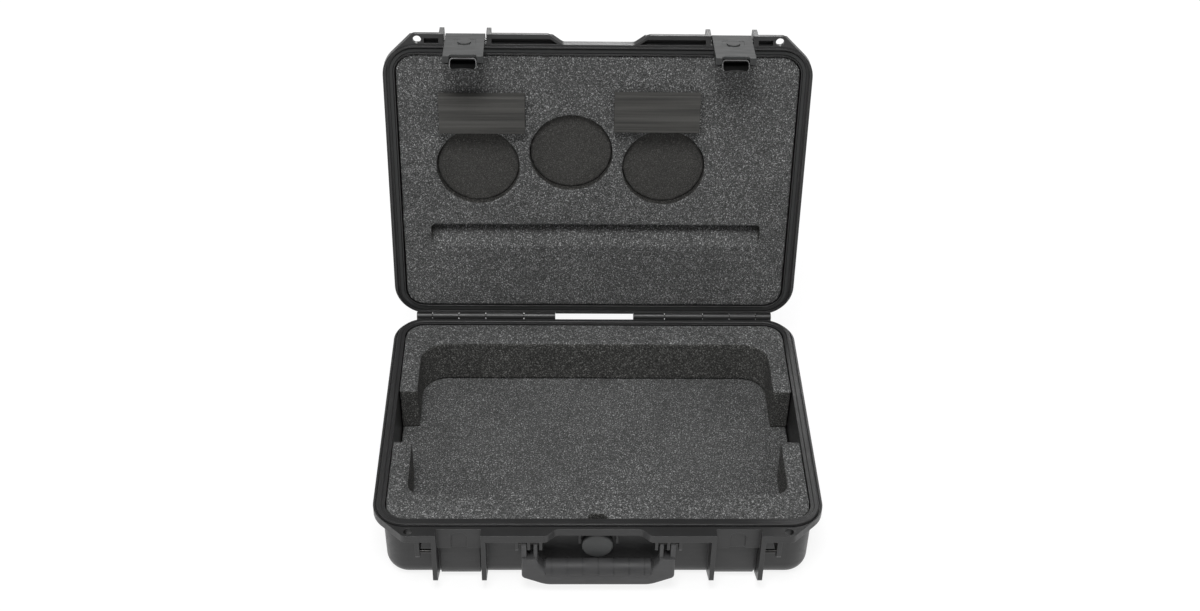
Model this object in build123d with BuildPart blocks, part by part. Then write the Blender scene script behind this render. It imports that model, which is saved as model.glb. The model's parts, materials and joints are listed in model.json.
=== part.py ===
from build123d import *
import os
from math import cos, radians, sin

os.makedirs("parts", exist_ok=True)

# A moulded hard case for a control panel: base and hinged lid, both lined with foam.
# Millimetres. +X right, +Y towards the hinges, +Z up. Origin in the middle of the underside.
# The lid stands open at rest. Its pieces are drawn in place on the closed case and swung open.

# The cavity and the two shells
cavity_length = 469.2
cavity_depth = 339.4
cavity_corner = 24.0
wall = 3.2
draft = 1.0
base_height = 90.0
base_floor = 5.0
base_round = 20.0
lid_height = 44.0
lid_top = 4.0
lid_round = 16.0
parting_gap = 0.2

# The rim, measured outwards from the cavity's edge
rim_side = 13.4
rim_front = 25.2
rim_back = 10.9
rim_height = 10.0
lid_rim_height = 5.0
rim_rear_corner = 40.0
rim_front_cut = 36.0
rim_front_cut_rounds = (36.0, 9.0)
rim_web = 5.0
rim_skirt = 2.8

# The hinge line
hinge_back = 15.4
hinge_rise = 1.5
lid_open = 95.86
knuckle_radius = 5.0
knuckle_relief = 0.6
knuckle_gap = 0.5
knuckle_insets = (199.0, 159.6, 111.7, 78.0, 45.0, 25.6)
hinge_pin_radius = 2.4
running_fit = 0.06
stop_clearance = 0.2
stop_toe_depth = 9.5

# The seal: bands around the rim, outwards from the cavity's edge
ledge_width = 3.8
ledge_height = 1.2
ridge_width = 5.4
ridge_height = 2.0
ridge_back_clearance = 7.2
groove_inset = 0.2
groove_width = 1.6
groove_depth = 2.6
lid_lip_width = 1.2
lid_lip_recess = 1.6
recess_depth = 3.4
recess_back_clearance = 6.6
gasket_inner = 1.6
gasket_width = 5.0
gasket_channel = 2.6
gasket_clearance = 0.3
gasket_round = 1.2
tongue_width = 1.2
tongue_length = 2.2
tongue_clearance = 0.2
seal_hinge_clearance = 28.0
lid_rim_backed = 22.0
padlock_relief = 2.0

# The middle of the front edge is cut back, less deeply on the base than on the lid
cut_inner_half = 46.4
cut_outer_half = 57.0
cut_edge = 14.6
lid_cut_inner_half = 41.0
lid_cut_outer_half = 57.5
lid_cut_edge = 13.2
cut_round = 8.0

# The latch bays
latch_inset = 82.2
bay_clear = 48.6
bay_edge = 14.6
bay_rib = 5.2
bay_rib_bottom = 70.5
bay_rib_foot = 5.0
bay_rib_root = 6.0
lid_bay_edge = 13.4
lid_bay_relief = 0.5
lid_rib_height = 22.0
lip_thickness = 3.2
lip_drop = 29.0
lip_notch = 17.4
lip_notch_top = 5.6
lip_notch_round = 7.0
lip_notch_depth = 2.2
pad_width = 43.8
pad_proud = 2.5
pad_top = 34.0

# The latches
latch_pivot_out = 13.2
latch_pivot_up = 13.0
latch_barrel_radius = 7.0
latch_pin_radius = 2.0
latch_width = 45.0
latch_skin = 3.0
latch_side = 2.8
latch_drop = 50.0
latch_rim_clearance = 0.3
latch_stop_clearance = 0.2
latch_cheek_out = 6.7
latch_cheek_top = 32.0
latch_cheek_slope = 4.5
latch_cheek_step = 1.4
latch_end_wall = 2.5
latch_rail = 1.5
latch_rail_top = 33.0
latch_nose_out = 12.5
latch_nose_rise = 8.0
latch_boss_radius = 7.65
latch_boss_height = 1.2
latch_boss_down = 10.0
latch_panel_width = 25.4
latch_panel_height = 17.0
latch_panel_depth = 0.3
latch_thumb_notch = 31.0
latch_thumb_depth = 4.7
latch_thumb_round = 3.5

# The release triggers that slide inside the latches
trigger_width = 31.0
trigger_wall = 1.3
trigger_corner = 4.0
trigger_clearance = 0.35
trigger_proud = 6.0
trigger_head = 2.0
trigger_mouth_top = 46.2
trigger_scallop = 3.5
trigger_scallop_radius = 26.0
barb_height = 2.0
barb_thickness = 2.3
barb_inner = 9.6
barb_width = 4.8
wing_top = 33.5
wing_height = 4.0
spring_radius = 1.25
spring_wire = 0.5
spring_turns = 6

# The carrying handle
handle_out = 18.2
handle_down = 16.5
handle_pin_radius = 2.4
handle_lugs = (63.0, 76.0, 89.0)
handle_lug = 3.2
handle_lug_drop = 26.0
handle_lug_front = 24.2
handle_lug_round = 5.5
handle_arms = ((66.8, 70.8), (78.7, 84.2))
arm_half = 5.4
handle_crotch = 36.0
handle_bottom = 77.0
handle_side_end = 65.5
handle_foot_run = 26.0
handle_side_round = 5.0
handle_foot_round = 30.0
handle_inner_curve = 20.0
handle_half = 7.5
handle_edge = 3.0
grip_down = 55.3
grip_radius = 9.8
grip_half = 61.0
grip_groove = 0.9
grip_pitch = 17.0

# Strap bars beside the latches
strap_lug_inset = 37.3
strap_lug = 5.0
strap_lug_drop = 36.0
strap_bar_radius = 2.25
strap_bar_out = 18.2
strap_bar_down = 30.0
strap_bar_seat = 2.4

# Padlock holes through both rims
padlock_inset = 41.1
padlock_out = 18.2
padlock_radius = 4.75

# The pressure valve in the front wall
valve_x = -1.0
valve_down = 31.8
valve_head_radius = 17.25
valve_head = 5.2
valve_head_round = 2.2
valve_gap = 2.0
valve_neck_radius = 12.0
valve_stem_radius = 6.0
valve_stem_length = 9.0
valve_bore_radius = 2.5
valve_chamber_radius = 8.0
valve_chamber = 1.4
valve_membrane_thickness = 0.5
valve_seal_radius = 14.2
valve_nut_radius = 8.4
valve_nut_thickness = 4.0
valve_rib_x = 20.6
valve_rib = 2.5
valve_rib_drop = 29.0
valve_rib_proud = 5.0

# Foam
foam_gap = 0.6
base_foam_proud = 1.2
lid_foam_recess = 1.6
pocket_floor = 33.5
pocket_back_margin = 38.8
pocket_front_margin = 40.1
pocket_side_margin = 22.8
pocket_back_round = 30.0
pocket_front_round = 16.0
notch_y = -1.65
notch_length = 86.5
notch_inner_reach = 8.0
nut_notch_half = 9.6
nut_notch_depth = 8.8
nut_notch_drop = 50.0
lid_backing = 12.0
circle_places = ((-141.0, -25.0), (-30.7, -43.5), (79.5, -24.6))
circle_radius = 48.5
circle_depth = 8.0
slot_left_inset = 35.1
slot_right_inset = 34.6
slot_top_y = 54.9
slot_bottom_y = 83.6
slot_depth = 20.0
block_lefts = (-185.0, 19.0)
block_fronts = (-122.0, -124.4)
block_length = 100.3
block_depth = 47.4
block_proud = 12.0
block_bevel = 2.4

# Pockets cored out of the rims
core_depth = 8.0
core_near = 13.5
core_far = 20.0

# Bars on the lid that sit in recesses under the base of the next case
stack_bar_x = 95.0
stack_bar_y = 92.0
stack_bar_length = 120.0
stack_bar_width = 13.0
stack_bar_height = 2.0
stack_recess_extra = 0.5

# Worked out from the sizes above
half_depth = cavity_depth / 2
half_length = cavity_length / 2
rim_x = half_length + rim_side
rim_front_y = -half_depth - rim_front
rim_back_y = half_depth + rim_back
knuckle_ends = [rim_x - inset for inset in knuckle_insets]
latch_x = half_length - latch_inset
strap_lug_x = half_length - strap_lug_inset
padlock_x = rim_x - padlock_inset
slot_left = slot_left_inset - half_length
slot_right = half_length - slot_right_inset
hinge_y = half_depth + hinge_back
hinge_z = base_height + hinge_rise
lid_plane = base_height + parting_gap
lid_top_z = lid_plane + lid_height
ridge_inner = ledge_width
ridge_outer = ridge_inner + ridge_width
groove_inner = ridge_outer + groove_inset
gasket_crown = base_height + ridge_height + gasket_clearance
recess_z = base_height + recess_depth
channel_z = recess_z + gasket_channel
knuckle_bore_radius = hinge_pin_radius + running_fit
latch_out = latch_pivot_out + latch_barrel_radius
side_inner = bay_edge + latch_rim_clearance
half_latch = latch_width / 2
half_bay = bay_clear / 2
both_sides = ((-1, "left"), (1, "right"))

hinge_swing = Pos(0, hinge_y, hinge_z) * Rot(X=-lid_open) * Pos(0, -hinge_y, -hinge_z)


def opened(plane):
    """A plane of the closed lid, swung open about the hinges."""
    return Plane(hinge_swing * plane.location)


def ahead(outwards):
    """The y of a place this far in front of the cavity's front edge."""
    return -half_depth - outwards


def front(outwards, up):
    """(y, z) of a place in front of the cavity, up or down from the parting line."""
    return (ahead(outwards), base_height + up)


def by_hinge(back, up):
    """(y, z) of a place behind and above the hinge line."""
    return (hinge_y + back, hinge_z + up)


def cavity_band(outer, inner=None):
    """The cavity's outline moved outwards, or the band between two such outlines."""
    RectangleRounded(cavity_length + 2 * outer, cavity_depth + 2 * outer, cavity_corner + outer)
    if inner is not None:
        RectangleRounded(
            cavity_length + 2 * inner, cavity_depth + 2 * inner, cavity_corner + inner, mode=Mode.SUBTRACT
        )


def edge_cut(edge, inner_half, outer_half):
    """The shape removed from the middle of a rim's front edge, with rounded shoulders."""
    end = outer_half + cut_round
    with BuildSketch() as cut:
        with BuildLine():
            FilletPolyline(
                (-end, ahead(rim_front)),
                (-outer_half, ahead(rim_front)),
                (-inner_half, ahead(edge)),
                (inner_half, ahead(edge)),
                (outer_half, ahead(rim_front)),
                (end, ahead(rim_front)),
                (end, ahead(rim_front + 1)),
                (-end, ahead(rim_front + 1)),
                radius=[0, cut_round, cut_round, cut_round, cut_round, 0, 0, 0],
                close=True,
            )
        make_face()
    return cut.sketch


# Outline shared by both rims, with rounded rear corners and cut front corners
with BuildSketch() as rim_outline:
    with BuildLine():
        FilletPolyline(
            (rim_x - rim_front_cut, rim_front_y),
            (rim_x, rim_front_y + rim_front_cut),
            (rim_x, rim_back_y),
            (-rim_x, rim_back_y),
            (-rim_x, rim_front_y + rim_front_cut),
            (-rim_x + rim_front_cut, rim_front_y),
            radius=[
                rim_front_cut_rounds[1],
                rim_front_cut_rounds[0],
                rim_rear_corner,
                rim_rear_corner,
                rim_front_cut_rounds[0],
                rim_front_cut_rounds[1],
            ],
            close=True,
        )
    make_face()

# Knuckles alternate along each side, starting and ending with the base's
base_knuckles = [(knuckle_ends[i], knuckle_ends[i + 1]) for i in (0, 2, 4)]
lid_knuckles = [(knuckle_ends[i], knuckle_ends[i + 1]) for i in (1, 3)]
web_tangent = knuckle_radius * sin(radians(45))
web_reach = rim_height + hinge_rise - 1.0


def knuckle_span(span, side, gap):
    """Lowest x and length of a knuckle on one side, shortened by a gap at each end."""
    near, far = span
    low = near + gap if side > 0 else -far + gap
    return low, far - near - 2 * gap


# Base shell: a drafted tub with rounded bottom edges
with BuildPart() as base_cavity:
    with BuildSketch(Plane(origin=(0, 0, base_height), z_dir=(0, 0, -1))):
        cavity_band(0)
    extrude(amount=base_height - base_floor, taper=draft)
    fillet(base_cavity.edges().group_by(Axis.Z)[0], base_round - wall)

with BuildPart() as bay_pads:
    with BuildSketch(Plane(origin=(0, 0, base_height), z_dir=(0, 0, -1))):
        cavity_band(wall + pad_proud)
    extrude(amount=base_height, taper=draft)
    fillet(bay_pads.edges().group_by(Axis.Z)[0], base_round)
    with BuildSketch(Plane.XY):
        for side, hand in both_sides:
            with Locations((side * latch_x, ahead(0))):
                Rectangle(pad_width, 2 * (wall + pad_proud + base_round))
    extrude(amount=base_height - pad_top, mode=Mode.INTERSECT)

with BuildPart() as sealing_ridge:
    with BuildSketch(Plane.XY.offset(base_height)):
        cavity_band(ridge_outer, ridge_inner)
    extrude(amount=ridge_height)
    fillet(sealing_ridge.edges().group_by(Axis.Z)[-1], ridge_height * 0.4)
    with BuildSketch(Plane.XY.offset(base_height)):
        with Locations((0, hinge_y - ridge_back_clearance)):
            Rectangle(cavity_length * 2, hinge_back, align=(Align.CENTER, Align.MIN))
    extrude(amount=ridge_height, mode=Mode.SUBTRACT)

with BuildPart() as base_shell:
    with BuildSketch(Plane(origin=(0, 0, base_height), z_dir=(0, 0, -1))):
        cavity_band(wall)
    extrude(amount=base_height, taper=draft)
    fillet(base_shell.edges().group_by(Axis.Z)[0], base_round)
    add(bay_pads.part)
    with BuildSketch(Plane.XY.offset(base_height - rim_height)):
        add(rim_outline.sketch)
        add(edge_cut(cut_edge, cut_inner_half, cut_outer_half), mode=Mode.SUBTRACT)
        for side, hand in both_sides:
            with Locations((side * latch_x, ahead(bay_edge))):
                Rectangle(bay_clear, rim_front, align=(Align.CENTER, Align.MAX), mode=Mode.SUBTRACT)
    extrude(amount=rim_height)

    # Catch lips hang in the bays, each with an arched recess in its face
    for side, hand in both_sides:
        with BuildSketch(Plane.XZ.offset(-ahead(bay_edge - lip_thickness))):
            with Locations((side * latch_x, base_height)):
                Rectangle(bay_clear + 2, lip_drop, align=(Align.CENTER, Align.MAX))
        extrude(amount=lip_thickness)
        with BuildSketch(Plane.XZ.offset(-ahead(bay_edge - lip_notch_depth))):
            with BuildLine():
                FilletPolyline(
                    (side * latch_x - lip_notch / 2, base_height - lip_drop - 1),
                    (side * latch_x - lip_notch / 2, base_height - lip_notch_top),
                    (side * latch_x + lip_notch / 2, base_height - lip_notch_top),
                    (side * latch_x + lip_notch / 2, base_height - lip_drop - 1),
                    radius=[lip_notch_round, lip_notch_round],
                )
                Line(
                    (side * latch_x + lip_notch / 2, base_height - lip_drop - 1),
                    (side * latch_x - lip_notch / 2, base_height - lip_drop - 1),
                )
            make_face()
        extrude(amount=lip_notch_depth, mode=Mode.SUBTRACT)

    # Deep ribs either side of each latch guard it
    for side, hand in both_sides:
        for edge in (-1, 1):
            rib_low = side * latch_x + edge * (half_bay + bay_rib / 2) - bay_rib / 2
            with BuildSketch(Plane.YZ.offset(rib_low)):
                with BuildLine():
                    FilletPolyline(
                        front(0, -1),
                        front(rim_front, -1),
                        front(rim_front, -bay_rib_bottom),
                        front(-bay_rib_root, bay_rib_foot / 2 - base_height),
                        front(-bay_rib_root, base_round - base_height),
                        front(0, base_round - base_height),
                        radius=[0, 0, bay_rib_foot, 0, 0, 0],
                        close=True,
                    )
                make_face()
            extrude(amount=bay_rib)

    # Lugs for the strap bars and the handle
    for side, hand in both_sides:
        with BuildSketch(Plane.YZ.offset(side * strap_lug_x - strap_lug / 2)):
            with BuildLine():
                FilletPolyline(
                    front(0, -1),
                    front(handle_lug_front, -1),
                    front(handle_lug_front, -strap_lug_drop),
                    front(0, -strap_lug_drop),
                    radius=[0, 0, strap_bar_radius * 2, 0],
                    close=True,
                )
            make_face()
        extrude(amount=strap_lug)
        for lug_x in handle_lugs:
            with BuildSketch(Plane.YZ.offset(side * lug_x - handle_lug / 2)):
                with BuildLine():
                    FilletPolyline(
                        front(0, -1),
                        front(handle_lug_front, -1),
                        front(handle_lug_front, -handle_lug_drop),
                        front(0, -handle_lug_drop),
                        radius=[0, 0, handle_lug_round, 0],
                        close=True,
                    )
                make_face()
            extrude(amount=handle_lug)

    # Short ribs either side of the valve
    for side, hand in both_sides:
        with BuildSketch(Plane.YZ.offset(side * valve_rib_x - valve_rib / 2)):
            with BuildLine():
                Polyline(
                    front(0, -1),
                    front(wall + valve_rib_proud, -1),
                    front(wall + valve_rib_proud, -valve_rib_drop),
                    front(0, -valve_rib_drop),
                    close=True,
                )
            make_face()
        extrude(amount=valve_rib)

    # Ledge and sealing ridge on the rim
    with BuildSketch(Plane.XY.offset(base_height)):
        cavity_band(ledge_width, 0)
    extrude(amount=ledge_height)
    add(sealing_ridge.part)

    # Hinge knuckles on their webs
    for side, hand in both_sides:
        for span in base_knuckles:
            low, length = knuckle_span(span, side, 0)
            with BuildSketch(Plane.YZ.offset(low)):
                with Locations(by_hinge(0, 0)):
                    Circle(knuckle_radius)
                with BuildLine():
                    Polyline(
                        by_hinge(0, 0),
                        by_hinge(-knuckle_radius - 0.5, -hinge_rise),
                        by_hinge(-knuckle_radius - 0.5, -web_reach),
                        by_hinge(2 * web_tangent - web_reach, -web_reach),
                        by_hinge(web_tangent, -web_tangent),
                        close=True,
                    )
                make_face()
            extrude(amount=length)
        for span in lid_knuckles:
            low, length = knuckle_span(span, side, -knuckle_gap)
            with BuildSketch(Plane.YZ.offset(low)):
                with Locations(by_hinge(0, 0)):
                    Circle(knuckle_radius + knuckle_relief)
            extrude(amount=length, mode=Mode.SUBTRACT)

    # Cavity, then the groove that takes the lid's tongue
    add(base_cavity.part, mode=Mode.SUBTRACT)
    with BuildSketch(Plane.XY.offset(base_height)):
        cavity_band(groove_inner + groove_width, groove_inner)
        with Locations((0, hinge_y - seal_hinge_clearance)):
            Rectangle(
                cavity_length * 2, cavity_depth, align=(Align.CENTER, Align.MIN), mode=Mode.SUBTRACT
            )
    extrude(amount=-groove_depth, mode=Mode.SUBTRACT)

    # Coring under the rim: between the lugs and the latch ribs, and along the sides
    core_low = handle_lugs[2] + handle_lug
    core_high = latch_x - half_bay - bay_rib - rim_skirt
    with BuildSketch(Plane.XY.offset(base_height - rim_height)):
        for side, hand in both_sides:
            with Locations((side * (core_low + core_high) / 2, ahead((wall + rim_front) / 2))):
                Rectangle(core_high - core_low, rim_front - wall - 2 * rim_skirt)
            for cell in (-1.5, -0.5, 0.5, 1.5):
                with Locations((side * (half_length + (wall + rim_side) / 2), cell * cavity_depth / 5.5)):
                    Rectangle(rim_side - wall - 2 * rim_skirt, cavity_depth / 5.5 - rim_skirt)
    extrude(amount=rim_height - rim_web, mode=Mode.SUBTRACT)

    # Padlock holes
    with BuildSketch(Plane.XY.offset(base_height - rim_height)):
        for side, hand in both_sides:
            with Locations((side * padlock_x, ahead(padlock_out))):
                Circle(padlock_radius)
    extrude(amount=rim_height, mode=Mode.SUBTRACT)

    # Bores for the hinge, handle and strap pins, and the valve's hole
    for side, hand in both_sides:
        low, length = knuckle_span((knuckle_ends[0], knuckle_ends[-1]), side, 0)
        with BuildSketch(Plane.YZ.offset(low)):
            with Locations(by_hinge(0, 0)):
                Circle(hinge_pin_radius)
        extrude(amount=length, mode=Mode.SUBTRACT)
        low, length = knuckle_span((handle_lugs[0], handle_lugs[2]), side, -handle_lug)
        with BuildSketch(Plane.YZ.offset(low)):
            with Locations(front(handle_out, -handle_down)):
                Circle(handle_pin_radius)
        extrude(amount=length, mode=Mode.SUBTRACT)
        strap_near = latch_x + half_bay + bay_rib - strap_bar_seat
        low, length = knuckle_span((strap_near, strap_lug_x + strap_lug / 2), side, 0)
        with BuildSketch(Plane.YZ.offset(low)):
            with Locations(front(strap_bar_out, -strap_bar_down)):
                Circle(strap_bar_radius)
        extrude(amount=length, mode=Mode.SUBTRACT)
    with BuildSketch(Plane.XZ.offset(-ahead(-wall))):
        with Locations((valve_x, base_height - valve_down)):
            Circle(valve_stem_radius)
    extrude(amount=3 * wall, mode=Mode.SUBTRACT)

    # Recesses in the underside for the bars of the case below
    with BuildSketch(Plane.XY):
        with GridLocations(2 * stack_bar_x, 2 * stack_bar_y, 2, 2):
            SlotOverall(stack_bar_length + 2 * stack_recess_extra, stack_bar_width + 2 * stack_recess_extra)
    extrude(amount=stack_bar_height + stack_recess_extra, mode=Mode.SUBTRACT)
base_shell.part.label = "base_shell"
export_step(base_shell.part, "parts/base_shell.step")

# Base foam: one drafted block, cut into a floor pad and a ring with a pocket
with BuildPart() as base_foam:
    with BuildSketch(Plane(origin=(0, 0, base_height), z_dir=(0, 0, -1))):
        cavity_band(-foam_gap)
    extrude(amount=base_height - base_floor - foam_gap / 2, taper=draft)
    fillet(base_foam.edges().group_by(Axis.Z)[0], base_round - wall)
    with BuildSketch(Plane.XY.offset(base_height)):
        cavity_band(-foam_gap)
    extrude(amount=base_foam_proud)

with BuildPart() as base_foam_pad:
    add(base_foam.part)
    split(bisect_by=Plane.XY.offset(pocket_floor), keep=Keep.BOTTOM)
base_foam_pad.part.label = "base_foam_pad"
export_step(base_foam_pad.part, "parts/base_foam_pad.step")

pocket_x = half_length - pocket_side_margin
pocket_back_y = half_depth - pocket_back_margin
pocket_front_y = -half_depth + pocket_front_margin
with BuildPart() as base_foam_ring:
    add(base_foam.part)
    split(bisect_by=Plane.XY.offset(pocket_floor), keep=Keep.TOP)
    with BuildSketch(Plane.XY.offset(pocket_floor)):
        with BuildLine():
            FilletPolyline(
                (-pocket_x, pocket_front_y),
                (pocket_x, pocket_front_y),
                (pocket_x, pocket_back_y),
                (-pocket_x, pocket_back_y),
                radius=[pocket_front_round, pocket_front_round, pocket_back_round, pocket_back_round],
                close=True,
            )
        make_face()
        for side, hand in both_sides:
            with Locations((side * (pocket_x - notch_inner_reach), notch_y)):
                Rectangle(
                    half_length - pocket_x + notch_inner_reach + 1,
                    notch_length,
                    align=(Align.MIN if side > 0 else Align.MAX, Align.CENTER),
                )
    extrude(amount=base_height, mode=Mode.SUBTRACT)
    with BuildSketch(Plane.XY.offset(base_height - nut_notch_drop)):
        with Locations((valve_x, ahead(0))):
            Rectangle(2 * nut_notch_half, 2 * nut_notch_depth)
    extrude(amount=base_height, mode=Mode.SUBTRACT)

# The finger notches cut the ring into a front and a back piece
for name, kept_side in (("base_foam_front", Keep.TOP), ("base_foam_back", Keep.BOTTOM)):
    with BuildPart() as foam_half:
        add(base_foam_ring.part)
        split(bisect_by=Plane.XZ.offset(-notch_y), keep=kept_side)
    foam_half.part.label = name
    export_step(foam_half.part, f"parts/{name}.step")

# Lid shell, drawn closed and swung open
lid_up = Axis((0, 0, 0), opened(Plane.XY).z_dir)
with BuildPart() as lid_cavity:
    with BuildSketch(opened(Plane.XY.offset(lid_plane))):
        cavity_band(0)
    extrude(amount=lid_height - lid_top, taper=draft)
    fillet(lid_cavity.edges().group_by(lid_up)[-1], lid_round - wall)

with BuildPart() as lid_shell:
    with BuildSketch(opened(Plane.XY.offset(lid_plane))):
        cavity_band(wall)
    extrude(amount=lid_height, taper=draft)
    fillet(lid_shell.edges().group_by(lid_up)[-1], lid_round)
    with BuildSketch(opened(Plane.XY.offset(lid_plane))):
        add(rim_outline.sketch)
        add(edge_cut(lid_cut_edge, lid_cut_inner_half, lid_cut_outer_half), mode=Mode.SUBTRACT)
        for side, hand in both_sides:
            with Locations((side * latch_x, ahead(lid_bay_edge))):
                Rectangle(bay_clear, rim_front, align=(Align.CENTER, Align.MAX), mode=Mode.SUBTRACT)
    extrude(amount=lid_rim_height)
    with BuildSketch(opened(Plane.XY.offset(lid_plane))):
        cavity_band(lid_rim_backed)
        add(rim_outline.sketch, mode=Mode.INTERSECT)
        add(edge_cut(lid_cut_edge, lid_cut_inner_half, lid_cut_outer_half), mode=Mode.SUBTRACT)
        for side, hand in both_sides:
            with Locations((side * latch_x, ahead(lid_bay_edge))):
                Rectangle(bay_clear, rim_front, align=(Align.CENTER, Align.MAX), mode=Mode.SUBTRACT)
            with Locations((side * padlock_x, ahead(padlock_out))):
                Circle(padlock_radius + padlock_relief, mode=Mode.SUBTRACT)
    extrude(amount=rim_height)

    # Ribs that carry the latch pins
    for side, hand in both_sides:
        for edge in (-1, 1):
            rib_low = side * latch_x + edge * (half_bay + bay_rib / 2) - bay_rib / 2
            with BuildSketch(opened(Plane.YZ.offset(rib_low))):
                with BuildLine():
                    FilletPolyline(
                        front(0, parting_gap),
                        front(rim_front, parting_gap),
                        front(rim_front, lid_rib_height),
                        front(-lid_round, lid_height - 1),
                        front(-lid_round, lid_height - lid_top / 2),
                        front(0, lid_rib_height),
                        radius=[0, 0, bay_rib_foot, 0, 0, 0],
                        close=True,
                    )
                make_face()
            extrude(amount=bay_rib)

    # Hinge knuckles, and toes under the long ones that stop the lid against the base
    for side, hand in both_sides:
        for span in lid_knuckles:
            low, length = knuckle_span(span, side, knuckle_gap)
            with BuildSketch(opened(Plane.YZ.offset(low))):
                with Locations(by_hinge(0, 0)):
                    Circle(knuckle_radius)
                with BuildLine():
                    Polyline(
                        by_hinge(0, 0),
                        by_hinge(-knuckle_radius - 0.5, -0.5),
                        by_hinge(-knuckle_radius - 0.5, rim_height - hinge_rise),
                        by_hinge(2 * web_tangent - rim_height + hinge_rise, rim_height - hinge_rise),
                        by_hinge(web_tangent, web_tangent),
                        close=True,
                    )
                make_face()
            extrude(amount=length)
        low, length = knuckle_span(lid_knuckles[0], side, knuckle_gap)
        toe_y = hinge_back - rim_back - stop_clearance
        with BuildSketch(Plane.YZ.offset(low)):
            with BuildLine():
                Polyline(
                    by_hinge(0, 0),
                    by_hinge(-toe_y, -web_tangent),
                    by_hinge(-toe_y, -stop_toe_depth),
                    by_hinge(-toe_y / 4, -stop_toe_depth),
                    by_hinge(web_tangent, -web_tangent),
                    close=True,
                )
            make_face()
        extrude(amount=length)
        for span in base_knuckles:
            low, length = knuckle_span(span, side, -knuckle_gap)
            with BuildSketch(opened(Plane.YZ.offset(low))):
                with Locations(by_hinge(0, 0)):
                    Circle(knuckle_radius + knuckle_relief)
            extrude(amount=length, mode=Mode.SUBTRACT)

    # Bars on top that locate the next case
    with BuildSketch(opened(Plane.XY.offset(lid_top_z))):
        with GridLocations(2 * stack_bar_x, 2 * stack_bar_y, 2, 2):
            SlotOverall(stack_bar_length, stack_bar_width)
    extrude(amount=stack_bar_height)

    # Cavity, seal recess, gasket channel and the tongue outside them
    add(lid_cavity.part, mode=Mode.SUBTRACT)
    recess_edge = hinge_y - recess_back_clearance
    recess_outer = ridge_outer + groove_inset
    for recess_inner, top in ((0, base_height + lid_lip_recess), (lid_lip_width, recess_z)):
        with BuildSketch(opened(Plane.XY.offset(lid_plane))):
            cavity_band(recess_outer, recess_inner)
            with Locations((0, recess_edge)):
                Rectangle(
                    cavity_length * 2, hinge_back, align=(Align.CENTER, Align.MIN), mode=Mode.SUBTRACT
                )
        extrude(amount=top - lid_plane, mode=Mode.SUBTRACT)
    with BuildSketch(opened(Plane.XY.offset(recess_z))):
        cavity_band(gasket_inner + gasket_width, gasket_inner)
    extrude(amount=gasket_channel, mode=Mode.SUBTRACT)
    with BuildSketch(opened(Plane.XY.offset(lid_plane - tongue_length))):
        cavity_band(groove_inner + tongue_clearance + tongue_width, groove_inner + tongue_clearance)
        with Locations((0, hinge_y - seal_hinge_clearance - 2)):
            Rectangle(
                cavity_length * 2, cavity_depth, align=(Align.CENTER, Align.MIN), mode=Mode.SUBTRACT
            )
    extrude(amount=tongue_length)

    # Room for the latch barrels, and bores for their pins
    for side, hand in both_sides:
        with BuildSketch(opened(Plane.YZ.offset(side * latch_x - half_bay))):
            with Locations(front(latch_pivot_out, latch_pivot_up)):
                Circle(latch_barrel_radius + lid_bay_relief)
        extrude(amount=bay_clear, mode=Mode.SUBTRACT)
        with BuildSketch(opened(Plane.YZ.offset(side * latch_x - half_bay - bay_rib))):
            with Locations(front(latch_pivot_out, latch_pivot_up)):
                Circle(latch_pin_radius)
        extrude(amount=bay_clear + 2 * bay_rib, mode=Mode.SUBTRACT)

    # Pockets cored into the mating face of the rim
    bay_rib_near = latch_x - half_bay - bay_rib
    bay_rib_far = latch_x + half_bay + bay_rib
    cored_slope = (lid_cut_outer_half - lid_cut_inner_half) / (rim_front - lid_cut_edge)
    with BuildSketch(opened(Plane.XY.offset(lid_plane))):
        for side, hand in both_sides:
            with Locations((side * (bay_rib_far + 0.6), ahead((core_near + core_far) / 2))):
                Rectangle(
                    padlock_x - padlock_radius - 2 * rim_skirt + 2 - bay_rib_far,
                    core_far - core_near,
                    align=(Align.MIN if side > 0 else Align.MAX, Align.CENTER),
                )
            near_x = lid_cut_inner_half + 2 * rim_skirt
            with BuildLine():
                Polyline(
                    (side * near_x, ahead(core_near)),
                    (side * (near_x + cored_slope * (core_far - core_near)), ahead(core_far)),
                    (side * (bay_rib_near - 0.6), ahead(core_far)),
                    (side * (bay_rib_near - 0.6), ahead(core_near)),
                    close=True,
                )
            make_face()
    extrude(amount=core_depth, mode=Mode.SUBTRACT)

    # Padlock holes and the hinge pin bore
    with BuildSketch(opened(Plane.XY.offset(lid_plane))):
        for side, hand in both_sides:
            with Locations((side * padlock_x, ahead(padlock_out))):
                Circle(padlock_radius)
    extrude(amount=rim_height, mode=Mode.SUBTRACT)
    for side, hand in both_sides:
        low, length = knuckle_span((knuckle_ends[0], knuckle_ends[-1]), side, 0)
        with BuildSketch(opened(Plane.YZ.offset(low))):
            with Locations(by_hinge(0, 0)):
                Circle(knuckle_bore_radius)
        extrude(amount=length, mode=Mode.SUBTRACT)
lid_shell.part.label = "lid_shell"
export_step(lid_shell.part, "parts/lid_shell.step")

# Gasket, seated in the lid's channel
with BuildPart() as lid_gasket:
    with BuildSketch(opened(Plane.XY.offset(gasket_crown))):
        cavity_band(gasket_inner + gasket_width, gasket_inner)
    extrude(amount=channel_z - gasket_crown)
    fillet(lid_gasket.edges().group_by(lid_up)[0], gasket_round)
lid_gasket.part.label = "lid_gasket"
export_step(lid_gasket.part, "parts/lid_gasket.step")

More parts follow.
